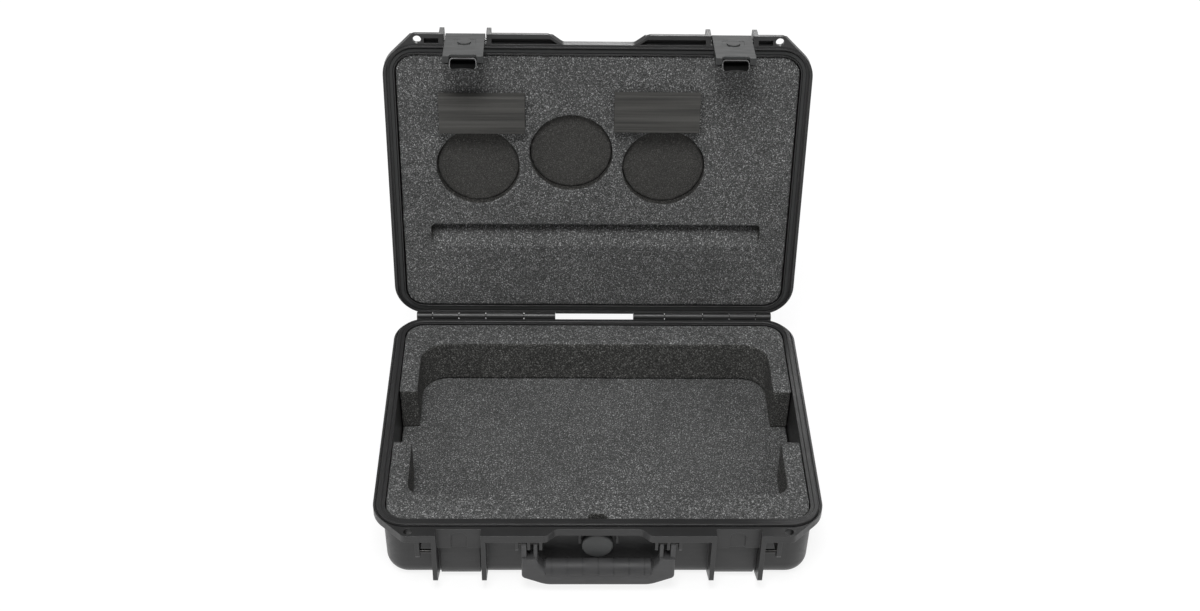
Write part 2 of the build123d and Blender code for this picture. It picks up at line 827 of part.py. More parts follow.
# Lid foam: one drafted block, cut into a backing sheet and a liner
backing_z = lid_top_z - lid_top - foam_gap / 2 - lid_backing
lid_foam_face = base_height + lid_foam_recess
with BuildPart() as lid_foam:
    with BuildSketch(opened(Plane.XY.offset(lid_plane))):
        cavity_band(-foam_gap)
    extrude(amount=lid_height - lid_top - foam_gap / 2, taper=draft)
    fillet(lid_foam.edges().group_by(lid_up)[-1], lid_round - wall)
    split(bisect_by=opened(Plane.XY.offset(lid_foam_face)), keep=Keep.TOP)

with BuildPart() as lid_foam_backing:
    add(lid_foam.part)
    split(bisect_by=opened(Plane.XY.offset(backing_z)), keep=Keep.TOP)
lid_foam_backing.part.label = "lid_foam_backing"
export_step(lid_foam_backing.part, "parts/lid_foam_backing.step")

with BuildPart() as lid_foam_liner:
    add(lid_foam.part)
    split(bisect_by=opened(Plane.XY.offset(backing_z)), keep=Keep.BOTTOM)
    with BuildSketch(opened(Plane.XY.offset(lid_foam_face))):
        with Locations(*circle_places):
            Circle(circle_radius)
    extrude(amount=lid_height, mode=Mode.SUBTRACT)
    with BuildSketch(opened(Plane.YZ.offset(slot_left))):
        with BuildLine():
            Polyline(
                (slot_top_y, lid_foam_face),
                (slot_top_y, lid_foam_face + slot_depth),
                (slot_bottom_y, lid_foam_face),
                close=True,
            )
        make_face()
    extrude(amount=slot_right - slot_left, mode=Mode.SUBTRACT)
lid_foam_liner.part.label = "lid_foam_liner"
export_step(lid_foam_liner.part, "parts/lid_foam_liner.step")

# Discs of finer foam at the bottom of the liner's three round holes
with BuildPart() as lid_foam_discs:
    with BuildSketch(opened(Plane.XY.offset(lid_foam_face + circle_depth))):
        with Locations(*circle_places):
            Circle(circle_radius)
    extrude(amount=backing_z - lid_foam_face - circle_depth)
lid_foam_discs.part.label = "lid_foam_discs"
export_step(lid_foam_discs.part, "parts/lid_foam_discs.step")

# Two sawn blocks of foam glued on the liner, bevelled along the edge away from the hinges
for block_left, block_front, hand in zip(block_lefts, block_fronts, ("left", "right")):
    with BuildPart() as foam_block:
        with BuildSketch(opened(Plane.YZ.offset(block_left))):
            with BuildLine():
                Polyline(
                    (block_front, lid_foam_face),
                    (block_front, lid_foam_face - block_proud + block_bevel / 2),
                    (block_front + block_bevel, lid_foam_face - block_proud),
                    (block_front + block_depth, lid_foam_face - block_proud),
                    (block_front + block_depth, lid_foam_face),
                    close=True,
                )
            make_face()
        extrude(amount=block_length)
    foam_block.part.label = f"foam_block_{hand}"
    export_step(foam_block.part, f"parts/foam_block_{hand}.step")

# Hinge pins
for side, hand in both_sides:
    low, length = knuckle_span((knuckle_ends[0], knuckle_ends[-1]), side, 0)
    with BuildPart() as hinge_pin:
        with BuildSketch(Plane.YZ.offset(low)):
            with Locations(by_hinge(0, 0)):
                Circle(hinge_pin_radius)
        extrude(amount=length)
    hinge_pin.part.label = f"hinge_pin_{hand}"
    export_step(hinge_pin.part, f"parts/hinge_pin_{hand}.step")

# Latch bodies: a curved skin on a barrel, with cheeks and rails that hold the trigger
trigger_half = trigger_width / 2
pocket_half = trigger_half + trigger_clearance
for side, hand in both_sides:
    middle = side * latch_x
    with BuildPart() as latch_body:
        with BuildSketch(opened(Plane.YZ.offset(middle - half_latch))):
            with Locations(front(latch_pivot_out, latch_pivot_up)):
                Circle(latch_barrel_radius)
            with BuildLine():
                Polyline(
                    front(latch_out - latch_skin, latch_pivot_up),
                    front(latch_out, latch_pivot_up),
                    front(latch_out, -latch_drop),
                    front(latch_out - latch_skin, -latch_drop),
                    close=True,
                )
            make_face()
        extrude(amount=latch_width)
        for x_low in (middle - half_latch, middle + half_latch - latch_side):
            with BuildSketch(opened(Plane.YZ.offset(x_low))):
                with BuildLine():
                    Polyline(
                        front(latch_out - latch_skin / 2, latch_pivot_up),
                        front(latch_out - latch_skin / 2, -latch_drop),
                        front(latch_cheek_out, -latch_drop),
                        front(latch_cheek_out, -latch_cheek_top - latch_cheek_slope),
                        front(latch_cheek_out + latch_cheek_slope, -latch_cheek_top),
                        front(side_inner, -latch_cheek_top),
                        front(side_inner, 0),
                        front(lid_bay_edge + latch_stop_clearance, latch_cheek_step),
                        front(lid_bay_edge + latch_stop_clearance, latch_pivot_up - latch_barrel_radius),
                        close=True,
                    )
                make_face()
            extrude(amount=latch_side)
        for x_low in (middle - half_latch, middle + pocket_half):
            with BuildSketch(opened(Plane.YZ.offset(x_low))):
                with BuildLine():
                    Polyline(
                        front(latch_out - latch_skin / 2, -latch_drop),
                        front(latch_cheek_out, -latch_drop),
                        front(latch_cheek_out, -latch_rail_top - latch_rail),
                        front(latch_cheek_out + latch_rail, -latch_rail_top - latch_rail),
                        front(latch_cheek_out + latch_rail, latch_end_wall - latch_drop),
                        front(latch_out - latch_skin / 2, latch_end_wall - latch_drop),
                        close=True,
                    )
                make_face()
            extrude(amount=half_latch - pocket_half)
        with BuildSketch(opened(Plane.YZ.offset(middle - half_latch))):
            with BuildLine():
                Polyline(
                    front(latch_nose_out, -latch_drop),
                    front(latch_cheek_out, latch_nose_rise - latch_drop),
                    front(latch_cheek_out, -latch_drop),
                    close=True,
                )
            make_face()
        extrude(amount=latch_width, mode=Mode.SUBTRACT)
        with BuildSketch(opened(Plane.XZ.offset(-ahead(latch_out)))):
            with Locations((middle, base_height - latch_boss_down)):
                Circle(latch_boss_radius)
        extrude(amount=latch_boss_height)
        with BuildSketch(opened(Plane.XZ.offset(-ahead(latch_out)))):
            with Locations((middle, base_height - latch_boss_down)):
                RectangleRounded(latch_panel_width, latch_panel_height, latch_skin)
                Circle(latch_boss_radius, mode=Mode.SUBTRACT)
        extrude(amount=-latch_panel_depth, mode=Mode.SUBTRACT)
        with BuildSketch(opened(Plane.XZ.offset(-ahead(latch_out)))):
            with BuildLine():
                FilletPolyline(
                    (middle - latch_thumb_notch / 2, base_height - latch_drop - 1),
                    (middle - latch_thumb_notch / 2, base_height - latch_drop + latch_thumb_depth),
                    (middle + latch_thumb_notch / 2, base_height - latch_drop + latch_thumb_depth),
                    (middle + latch_thumb_notch / 2, base_height - latch_drop - 1),
                    radius=[0, latch_thumb_round, latch_thumb_round, 0],
                    close=True,
                )
            make_face()
        extrude(amount=-latch_skin, mode=Mode.SUBTRACT)
        with BuildSketch(opened(Plane.YZ.offset(middle - half_latch))):
            with Locations(front(latch_pivot_out, latch_pivot_up)):
                Circle(latch_pin_radius + running_fit)
        extrude(amount=latch_width, mode=Mode.SUBTRACT)
    latch_body.part.label = f"latch_body_{hand}"
    export_step(latch_body.part, f"parts/latch_body_{hand}.step")

    with BuildPart() as latch_pin:
        with BuildSketch(opened(Plane.YZ.offset(middle - half_bay - bay_rib))):
            with Locations(front(latch_pivot_out, latch_pivot_up)):
                Circle(latch_pin_radius)
        extrude(amount=bay_clear + 2 * bay_rib)
    latch_pin.part.label = f"latch_pin_{hand}"
    export_step(latch_pin.part, f"parts/latch_pin_{hand}.step")

    # Trigger: a finger cup whose head hooks under the catch lip
    cup_out = latch_out - latch_skin - trigger_clearance
    cup_in = wall + pad_proud - 0.3
    head_z = base_height - lip_drop - stop_clearance
    cup_end = base_height - latch_drop - trigger_proud
    cup_y = ahead((cup_out + cup_in) / 2)
    with BuildPart() as latch_trigger:
        with BuildSketch(opened(Plane.XY.offset(cup_end))):
            with Locations((middle, cup_y)):
                RectangleRounded(trigger_width, cup_out - cup_in, trigger_corner)
        extrude(amount=head_z - cup_end)
        with BuildSketch(opened(Plane.XY.offset(cup_end))):
            with Locations((middle, cup_y)):
                RectangleRounded(
                    trigger_width - 2 * trigger_wall,
                    cup_out - cup_in - 2 * trigger_wall,
                    trigger_corner - trigger_wall,
                )
        extrude(amount=head_z - trigger_head - cup_end, mode=Mode.SUBTRACT)
        with BuildSketch(opened(Plane.YZ.offset(middle - trigger_half))):
            with BuildLine():
                Polyline(
                    (ahead(cup_out), base_height - trigger_mouth_top),
                    (ahead(cup_in + trigger_wall), cup_end + trigger_wall),
                    (ahead(cup_in + trigger_wall), cup_end),
                    (ahead(cup_out), cup_end),
                    close=True,
                )
            make_face()
        extrude(amount=trigger_width, mode=Mode.SUBTRACT)
        with BuildSketch(opened(Plane.XZ.offset(-ahead(cup_in)))):
            with Locations((middle, cup_end + trigger_scallop - trigger_scallop_radius)):
                Circle(trigger_scallop_radius)
        extrude(amount=trigger_wall, mode=Mode.SUBTRACT)
        barb_out = bay_edge - lip_thickness - trigger_clearance
        for edge in (-1, 1):
            with BuildSketch(opened(Plane.XY.offset(head_z - 0.1))):
                with Locations((middle + edge * (barb_inner + barb_width / 2), ahead(barb_out))):
                    Rectangle(barb_width, barb_thickness, align=(Align.CENTER, Align.MIN))
            extrude(amount=barb_height + 0.1)
            wing_in = latch_cheek_out + latch_rail + trigger_clearance
            wing_reach = half_latch - latch_side - trigger_clearance - trigger_half
            with BuildSketch(opened(Plane.XY.offset(base_height - wing_top - wing_height))):
                with Locations((middle + edge * (trigger_half + wing_reach / 2), ahead(cup_out))):
                    Rectangle(wing_reach + 0.4, cup_out - wing_in, align=(Align.CENTER, Align.MIN))
            extrude(amount=wing_height)
    latch_trigger.part.label = f"latch_trigger_{hand}"
    export_step(latch_trigger.part, f"parts/latch_trigger_{hand}.step")

    # A pair of coil springs between the latch's end wall and the trigger's wings
    spring_low = base_height - latch_drop + latch_end_wall
    spring_length = latch_drop - latch_end_wall - wing_top - wing_height
    spring_x = (pocket_half + half_latch - latch_side) / 2
    spring_y = ahead((cup_out + latch_cheek_out + latch_rail) / 2)
    with BuildPart() as trigger_springs:
        for edge in (-1, 1):
            foot = opened(Plane((middle + edge * spring_x, spring_y, spring_low + spring_wire / 2)))
            coil_height = spring_length - spring_wire - 0.1
            with BuildLine(foot):
                coil = Helix(
                    coil_height / spring_turns, coil_height, spring_radius, direction=foot.z_dir
                )
            with BuildSketch(Plane(coil @ 0, z_dir=coil % 0)):
                Circle(spring_wire / 2)
            sweep(path=coil, is_frenet=True)
    trigger_springs.part.label = f"trigger_springs_{hand}"
    export_step(trigger_springs.part, f"parts/trigger_springs_{hand}.step")

# Strap bars between the bay ribs and their lugs
for side, hand in both_sides:
    low, length = knuckle_span((strap_near, strap_lug_x + strap_lug / 2), side, 0)
    with BuildPart() as strap_bar:
        with BuildSketch(Plane.YZ.offset(low)):
            with Locations(front(strap_bar_out, -strap_bar_down)):
                Circle(strap_bar_radius)
        extrude(amount=length)
    strap_bar.part.label = f"strap_bar_{hand}"
    export_step(strap_bar.part, f"parts/strap_bar_{hand}.step")

# Handle frame, hanging down: two forked arms on a deep rounded bar
arm_outer = handle_arms[1][1]
arm_inner = handle_arms[0][0]
with BuildPart() as handle_frame:
    with BuildSketch(Plane.XZ.offset(-ahead(handle_out - handle_half))):
        with BuildLine():
            FilletPolyline(
                (-arm_outer, base_height - handle_down),
                (-arm_outer, base_height - handle_side_end),
                (-arm_outer + handle_foot_run, base_height - handle_bottom),
                (arm_outer - handle_foot_run, base_height - handle_bottom),
                (arm_outer, base_height - handle_side_end),
                (arm_outer, base_height - handle_down),
                (arm_inner, base_height - handle_down),
                (arm_inner, base_height - grip_down),
                (-arm_inner, base_height - grip_down),
                (-arm_inner, base_height - handle_down),
                radius=[
                    0,
                    handle_side_round,
                    handle_foot_round,
                    handle_foot_round,
                    handle_side_round,
                    0,
                    0,
                    handle_inner_curve,
                    handle_inner_curve,
                    0,
                ],
                close=True,
            )
        make_face()
    extrude(amount=2 * handle_half)
    for facing in (0, -1):
        below_pins = handle_frame.edges().filter_by_position(Axis.Z, 0, base_height - handle_down - 1)
        fillet(below_pins.group_by(Axis.Y)[facing], handle_edge)
    with BuildSketch(Plane.XZ.offset(-ahead(handle_out - handle_half))):
        for side, hand in both_sides:
            fork_middle = (handle_arms[0][1] + handle_arms[1][0]) / 2
            with Locations((side * fork_middle, base_height - handle_crotch)):
                Rectangle(
                    handle_arms[1][0] - handle_arms[0][1], handle_crotch, align=(Align.CENTER, Align.MIN)
                )
    extrude(amount=2 * handle_half, mode=Mode.SUBTRACT)
    for cut_from, cut_to in ((arm_half, handle_half + 1), (-handle_half - 1, -arm_half)):
        with BuildSketch(Plane.YZ.offset(-arm_outer - 1)):
            with BuildLine():
                Polyline(
                    front(handle_out + cut_from, -handle_down + 1),
                    front(handle_out + cut_to, -handle_down + 1),
                    front(handle_out + cut_to, -handle_crotch),
                    front(handle_out + cut_from, -handle_crotch),
                    close=True,
                )
            make_face()
        extrude(amount=2 * arm_outer + 2, mode=Mode.SUBTRACT)
    for side, hand in both_sides:
        for span in handle_arms:
            low, length = knuckle_span(span, side, 0)
            with BuildSketch(Plane.YZ.offset(low)):
                with Locations(front(handle_out, -handle_down)):
                    Circle(arm_half)
            extrude(amount=length)
        low, length = knuckle_span((arm_inner, arm_outer), side, -1)
        with BuildSketch(Plane.YZ.offset(low)):
            with Locations(front(handle_out, -handle_down)):
                Circle(handle_pin_radius + running_fit)
        extrude(amount=length, mode=Mode.SUBTRACT)
handle_frame.part.label = "handle_frame"

# Rubber grip moulded over the bar, with finger grooves
with BuildPart() as handle_grip:
    with BuildSketch(Plane.YZ.offset(-grip_half)):
        with Locations(front(handle_out, -grip_down)):
            Circle(grip_radius)
    extrude(amount=2 * grip_half)
    chamfer(handle_grip.edges().filter_by(GeomType.CIRCLE), grip_radius / 3)
    for step in range(-3, 4):
        with BuildSketch(Plane.YZ.offset(step * grip_pitch - grip_groove / 2)):
            with Locations(front(handle_out, -grip_down)):
                Circle(grip_radius + 1)
                Circle(grip_radius - grip_groove, mode=Mode.SUBTRACT)
        extrude(amount=grip_groove, mode=Mode.SUBTRACT)
    add(handle_frame.part, mode=Mode.SUBTRACT)
handle_grip.part.label = "handle_grip"
export_step(handle_frame.part, "parts/handle_frame.step")
export_step(handle_grip.part, "parts/handle_grip.step")

# Handle pins
for side, hand in both_sides:
    low, length = knuckle_span((handle_lugs[0], handle_lugs[2]), side, -handle_lug / 2)
    with BuildPart() as handle_pin:
        with BuildSketch(Plane.YZ.offset(low)):
            with Locations(front(handle_out, -handle_down)):
                Circle(handle_pin_radius)
        extrude(amount=length)
    handle_pin.part.label = f"handle_pin_{hand}"
    export_step(handle_pin.part, f"parts/handle_pin_{hand}.step")

# Pressure valve: head, neck and hollow stem through the wall, sealed by a ring and a nut
wall_lean = valve_down * sin(radians(draft)) / cos(radians(draft))
wall_face = wall - wall_lean
valve_z = base_height - valve_down


def valve_plane(outwards):
    """A plane across the valve's axis, facing forwards, this far ahead of the wall's face."""
    return Plane(origin=(valve_x, ahead(wall_face + outwards), valve_z), x_dir=(1, 0, 0), z_dir=(0, -1, 0))


with BuildPart() as valve_body:
    with BuildSketch(valve_plane(valve_gap)):
        Circle(valve_head_radius)
    extrude(amount=valve_head)
    fillet(valve_body.edges().group_by(Axis.Y)[0], valve_head_round)
    with BuildSketch(valve_plane(0.3)):
        Circle(valve_neck_radius)
    extrude(amount=valve_gap)
    with BuildSketch(valve_plane(valve_gap)):
        Circle(valve_stem_radius - running_fit)
    extrude(amount=-valve_stem_length - valve_gap)
    with BuildSketch(valve_plane(valve_gap)):
        Circle(valve_bore_radius)
    extrude(amount=-valve_stem_length - valve_gap, mode=Mode.SUBTRACT)
    with BuildSketch(valve_plane(valve_gap)):
        Circle(valve_chamber_radius)
    extrude(amount=valve_chamber, mode=Mode.SUBTRACT)
valve_body.part.label = "valve_body"
export_step(valve_body.part, "parts/valve_body.step")

with BuildPart() as valve_membrane:
    with BuildSketch(valve_plane(valve_gap)):
        Circle(valve_chamber_radius)
    extrude(amount=valve_membrane_thickness)
valve_membrane.part.label = "valve_membrane"
export_step(valve_membrane.part, "parts/valve_membrane.step")

with BuildPart() as valve_seal:
    with BuildSketch(Plane.YZ.offset(valve_x)):
        with Locations((ahead(wall_face + valve_gap / 2 + 0.15), valve_z + valve_seal_radius)):
            Circle(valve_gap / 2 - 0.2)
    revolve(axis=Axis((valve_x, 0, valve_z), (0, 1, 0)))
valve_seal.part.label = "valve_seal"
export_step(valve_seal.part, "parts/valve_seal.step")

with BuildPart() as valve_nut:
    with BuildSketch(valve_plane(-wall - 0.2)):
        RegularPolygon(valve_nut_radius, 6)
        Circle(valve_stem_radius, mode=Mode.SUBTRACT)
    extrude(amount=-valve_nut_thickness)
valve_nut.part.label = "valve_nut"
export_step(valve_nut.part, "parts/valve_nut.step")
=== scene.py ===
import json
from math import cos, pi, radians, sin

import bmesh
import bpy
from mathutils import Matrix, Vector, noise


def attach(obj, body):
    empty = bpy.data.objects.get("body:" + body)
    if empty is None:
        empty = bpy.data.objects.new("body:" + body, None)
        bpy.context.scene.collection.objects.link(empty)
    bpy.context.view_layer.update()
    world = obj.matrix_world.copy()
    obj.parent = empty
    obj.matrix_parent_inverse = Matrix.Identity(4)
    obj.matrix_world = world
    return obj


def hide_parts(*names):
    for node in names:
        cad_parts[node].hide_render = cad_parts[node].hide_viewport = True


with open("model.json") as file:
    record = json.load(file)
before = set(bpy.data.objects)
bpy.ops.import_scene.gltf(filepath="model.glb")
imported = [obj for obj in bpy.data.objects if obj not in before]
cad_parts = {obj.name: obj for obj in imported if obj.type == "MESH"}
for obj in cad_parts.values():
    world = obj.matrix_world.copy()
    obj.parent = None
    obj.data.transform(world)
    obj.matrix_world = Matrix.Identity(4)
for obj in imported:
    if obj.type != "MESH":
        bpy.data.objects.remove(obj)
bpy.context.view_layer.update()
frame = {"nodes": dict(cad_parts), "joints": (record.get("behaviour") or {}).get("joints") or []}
nodes = frame["nodes"]

# The studio: a pale floor in a white room. A large soft light stands high in front, a second one
# behind lifts the rims from the floor, and two weak ones fill the sides. The floor looks white
# and still holds the case's soft shadow.
scene = bpy.context.scene
scene.view_settings.view_transform = "Standard"
floor_size = 9.0
floor_squares = 8
floor_colour = (0.8, 0.8, 0.8, 1)
floor_glow = 0.86
floor_shaded = (0.16, 0.16, 0.16, 1)
room_light = 0.3
white = (1, 1, 1, 1)


def add_node(tree, kind, inputs=None, **settings):
    """A node with its settings, and each input joined to a socket or set to a value."""
    made = tree.nodes.new("ShaderNode" + kind)
    for name, value in settings.items():
        setattr(made, name, value)
    for name, value in (inputs or {}).items():
        if isinstance(value, bpy.types.NodeSocket):
            tree.links.new(value, made.inputs[name])
        else:
            made.inputs[name].default_value = value
    return made


def seen_directly(tree):
    """1 for what the camera sees, also in a reflection, and 0 for light that spreads."""
    ray = add_node(tree, "LightPath")
    seen = ray.outputs["Is Camera Ray"]
    for kind in ("Is Glossy Ray", "Is Transmission Ray"):
        seen = add_node(tree, "Math", {0: seen, 1: ray.outputs[kind]}, operation="MAXIMUM").outputs[0]
    return seen


room = bpy.data.worlds.new("room")
scene.world = room
room.use_nodes = True
room.node_tree.nodes.clear()
room_seen = add_node(room.node_tree, "Background", {"Color": white, "Strength": 1.0})
room_spread = add_node(room.node_tree, "Background", {"Color": white, "Strength": room_light})
room_ray = add_node(room.node_tree, "LightPath")
room_mix = add_node(
    room.node_tree,
    "MixShader",
    {0: room_ray.outputs["Is Camera Ray"], 1: room_spread.outputs[0], 2: room_seen.outputs[0]},
)
add_node(room.node_tree, "OutputWorld", {"Surface": room_mix.outputs[0]})

floor_form = bmesh.new()
bmesh.ops.create_grid(
    floor_form, x_segments=floor_squares, y_segments=floor_squares, size=floor_size / 2
)
floor_mesh = bpy.data.meshes.new("floor")
floor_form.to_mesh(floor_mesh)
floor_form.free()
floor = bpy.data.objects.new("floor", floor_mesh)
scene.collection.objects.link(floor)

floor_paint = bpy.data.materials.new("floor_paint")
floor_paint.use_nodes = True
paint = floor_paint.node_tree
paint.nodes.clear()
paint_plain = add_node(paint, "BsdfDiffuse", {"Color": floor_colour})
paint_shaded = add_node(paint, "BsdfDiffuse", {"Color": floor_shaded})
paint_glow = add_node(paint, "Emission", {"Color": white, "Strength": floor_glow})
paint_seen = add_node(paint, "AddShader", {0: paint_shaded.outputs[0], 1: paint_glow.outputs[0]})
paint_mix = add_node(
    paint, "MixShader", {0: seen_directly(paint), 1: paint_plain.outputs[0], 2: paint_seen.outputs[0]}
)
add_node(paint, "OutputMaterial", {"Surface": paint_mix.outputs[0]})
floor_mesh.materials.append(floor_paint)

case_middle = Vector((0, 0, 0.15))
soft_lights = (
    ("front_light", (-0.2, -1.3, 3.0), 1.2, 74),
    ("left_light", (-2.6, -0.6, 1.6), 1.6, 12),
    ("right_light", (2.6, -0.4, 1.8), 1.6, 12),
    ("back_light", (0.2, 2.8, 2.0), 1.3, 44),
)
for light_name, place, size, watts in soft_lights:
    lamp = bpy.data.lights.new(light_name, "AREA")
    lamp.shape = "DISK"
    lamp.size = size
    lamp.energy = watts
    light = bpy.data.objects.new(light_name, lamp)
    light.location = place
    light.rotation_mode = "QUATERNION"
    light.rotation_quaternion = (case_middle - Vector(place)).to_track_quat("-Z", "Y")
    scene.collection.objects.link(light)

# The camera: a standard lens some two metres away, in front of the case and above it, looking
# down into the open base.
photo_width = 1200
focal_pixels = 1662.0
sensor_width = 36.0
camera_place = (-0.04286, -1.45198, 1.39410)
look_down = radians(38.127)
look_right = radians(1.742)
tilt = radians(1.296)
lens = bpy.data.cameras.new("camera")
lens.sensor_width = sensor_width
lens.lens = sensor_width * focal_pixels / photo_width
camera = bpy.data.objects.new("camera", lens)
camera.matrix_world = (
    Matrix.Translation(camera_place)
    @ Matrix.Rotation(-look_right, 4, "Z")
    @ Matrix.Rotation(pi / 2 - look_down, 4, "X")
    @ Matrix.Rotation(tilt, 4, "Z")
)
scene.collection.objects.link(camera)
scene.camera = camera

# The base shell: one moulding in tough black plastic with a fine eroded texture. Its edges are
# painted a little paler, partly as wear from handling and partly as a painted highlight where
# they catch the light, and faint flow marks run through the flat walls.
shell_colour = (0.014, 0.014, 0.0142, 1)
shell_pale = (0.020, 0.020, 0.0203, 1)
# Paler colour for rounded edges: partly rubbed wear, partly a painted highlight where edges catch the light.
shell_edge_wear_and_highlight = (0.07, 0.07, 0.07, 1)
shell_roughness = (0.34, 0.46)
flow_scale = 14.0
scuff_scale = (40.0, 260.0, 260.0)
grain_size = 0.0005
grain_depth = 0.00012
edge_round = 0.0007


def new_finish(name):
    """An empty material's node tree with its shader, and the case's own coordinates."""
    finish = bpy.data.materials.new(name)
    finish.use_nodes = True
    tree = finish.node_tree
    return finish, tree, tree.nodes["Principled BSDF"], add_node(tree, "TexCoord").outputs["Object"]


def mixed(tree, share, first, second):
    """The colour between two colours."""
    return add_node(tree, "Mix", {0: share, 6: first, 7: second}, data_type="RGBA").outputs[2]


def eased(tree, value, low, high, out_low=0.0, out_high=1.0):
    """A value's range from low to high, spread over another range."""
    spread = {0: value, 1: low, 2: high, 3: out_low, 4: out_high}
    return add_node(tree, "MapRange", spread).outputs[0]


def moulded(name, colour, pale, edge_wear_and_highlight, roughness):
    """Moulded plastic: even colour with slow variation, eroded grain, and rounded edges painted paler, partly
    as wear and partly as a painted highlight.
    """
    finish, tree, shader, place = new_finish(name)
    flow = add_node(
        tree, "TexNoise", {"Vector": place, "Scale": flow_scale, "Detail": 4.0, "Roughness": 0.6}
    )
    scuffs_along = add_node(tree, "Mapping", {"Vector": place, "Scale": scuff_scale})
    scuffs = add_node(tree, "TexNoise", {"Vector": scuffs_along.outputs[0], "Scale": 1.0, "Detail": 5.0})
    pores = add_node(tree, "TexNoise", {"Vector": place, "Scale": 1 / grain_size, "Detail": 2.0})
    soft_edges = add_node(tree, "Bevel", {"Radius": edge_round}, samples=6)
    facing = add_node(tree, "NewGeometry").outputs["Normal"]
    bend = add_node(tree, "VectorMath", {0: soft_edges.outputs[0], 1: facing}, operation="DOT_PRODUCT")
    # Edges that turn away from the face are painted paler in scuffed patches: partly wear, partly a painted
    # highlight.
    worn_and_lit_edges = eased(tree, bend.outputs["Value"], 0.985, 0.86)
    patchy = eased(tree, scuffs.outputs[0], 0.3, 0.7, 0.35)
    worn_and_lit_here = add_node(tree, "Math", {0: worn_and_lit_edges, 1: patchy}, operation="MULTIPLY")
    body = mixed(tree, eased(tree, flow.outputs[0], 0.35, 0.7), colour, pale)
    worn_and_highlighted = mixed(tree, worn_and_lit_here.outputs[0], body, edge_wear_and_highlight)
    tree.links.new(worn_and_highlighted, shader.inputs["Base Color"])
    gloss = eased(tree, scuffs.outputs[0], 0.3, 0.7, *roughness)
    tree.links.new(gloss, shader.inputs["Roughness"])
    grained = {"Height": pores.outputs[0], "Strength": 0.6, "Distance": grain_depth}
    relief = add_node(tree, "Bump", {**grained, "Normal": soft_edges.outputs[0]})
    tree.links.new(relief.outputs[0], shader.inputs["Normal"])
    return finish


def dress(finish, *names):
    """Gives CAD nodes their finish through their own material slots."""
    for name in names:
        for material_slot in nodes[name].material_slots:
            material_slot.material = finish


shell_plastic = moulded("shell_plastic", shell_colour, shell_pale, shell_edge_wear_and_highlight, shell_roughness)
dress(shell_plastic, "base_shell")

# The pressure relief valve: a turned-looking cap moulded in grey plastic, screwed through the
# front wall against a rubber ring, with a thin membrane inside and a black nut behind.
cap_colour = (0.050, 0.052, 0.052, 1)
cap_pale = (0.062, 0.064, 0.064, 1)
# Paler cap edges: partly wear, partly a painted highlight.
cap_edge_wear_and_highlight = (0.10, 0.10, 0.10, 1)
cap_plastic = moulded("cap_plastic", cap_colour, cap_pale, cap_edge_wear_and_highlight, (0.45, 0.58))
dress(cap_plastic, "valve_body")

jet_colour = (0.005, 0.005, 0.005, 1)
jet_pale = (0.008, 0.008, 0.008, 1)
# Paler nut and trigger edges: partly wear, partly a painted highlight.
jet_edge_wear_and_highlight = (0.04, 0.04, 0.04, 1)
jet_plastic = moulded("jet_plastic", jet_colour, jet_pale, jet_edge_wear_and_highlight, (0.35, 0.5))
dress(jet_plastic, "valve_nut")

rubber_colour = (0.020, 0.021, 0.021, 1)
rubber_pale = (0.03, 0.031, 0.031, 1)
bloom_scale = 35.0
skin_pit_size = 0.0009
skin_pit_depth = 0.00015


def rubbery(name, colour, pale, roughness):
    """Rubber: matt, with a bloom in soft patches and a fine pitted skin."""
    finish, tree, shader, place = new_finish(name)
    bloom = add_node(
        tree, "TexNoise", {"Vector": place, "Scale": bloom_scale, "Detail": 5.0, "Roughness": 0.65}
    )
    pits = add_node(tree, "TexNoise", {"Vector": place, "Scale": 1 / skin_pit_size, "Detail": 3.0})
    share = eased(tree, bloom.outputs[0], 0.35, 0.68)
    tree.links.new(mixed(tree, share, colour, pale), shader.inputs["Base Color"])
    tree.links.new(eased(tree, bloom.outputs[0], 0.3, 0.7, *roughness), shader.inputs["Roughness"])
    relief = add_node(tree, "Bump", {"Height": pits.outputs[0], "Strength": 0.5, "Distance": skin_pit_depth})
    tree.links.new(relief.outputs[0], shader.inputs["Normal"])
    return finish


seal_rubber = rubbery("seal_rubber", rubber_colour, rubber_pale, (0.5, 0.7))
dress(seal_rubber, "valve_seal", "valve_membrane")

# The strap bars: short drawn steel pins moulded in between the latch ribs and their lugs,
# blacked against rust.
blacked_colour = (0.045, 0.044, 0.043, 1)
blacked_dull = (0.025, 0.025, 0.025, 1)
draw_line_scale = (60.0, 2600.0, 2600.0)
draw_line_depth = 0.00004
dull_patch_scale = 90.0


def drawn_steel(name, bright, dull):
    """Steel pin stock: fine lines along its length where it was drawn, and dull patches."""
    finish, tree, shader, place = new_finish(name)
    shader.inputs["Metallic"].default_value = 1.0
    along = add_node(tree, "Mapping", {"Vector": place, "Scale": draw_line_scale})
    lines = add_node(tree, "TexNoise", {"Vector": along.outputs[0], "Scale": 1.0, "Detail": 3.0})
    patches = add_node(tree, "TexNoise", {"Vector": place, "Scale": dull_patch_scale, "Detail": 4.0})
    share = eased(tree, patches.outputs[0], 0.4, 0.65)
    tree.links.new(mixed(tree, share, bright, dull), shader.inputs["Base Color"])
    tree.links.new(eased(tree, lines.outputs[0], 0.3, 0.7, 0.28, 0.48), shader.inputs["Roughness"])
    drawn = {"Height": lines.outputs[0], "Strength": 0.3, "Distance": draw_line_depth}
    relief = add_node(tree, "Bump", drawn)
    tree.links.new(relief.outputs[0], shader.inputs["Normal"])
    return finish


black_steel = drawn_steel("black_steel", blacked_colour, blacked_dull)
dress(black_steel, "strap_bar_left", "strap_bar_right")

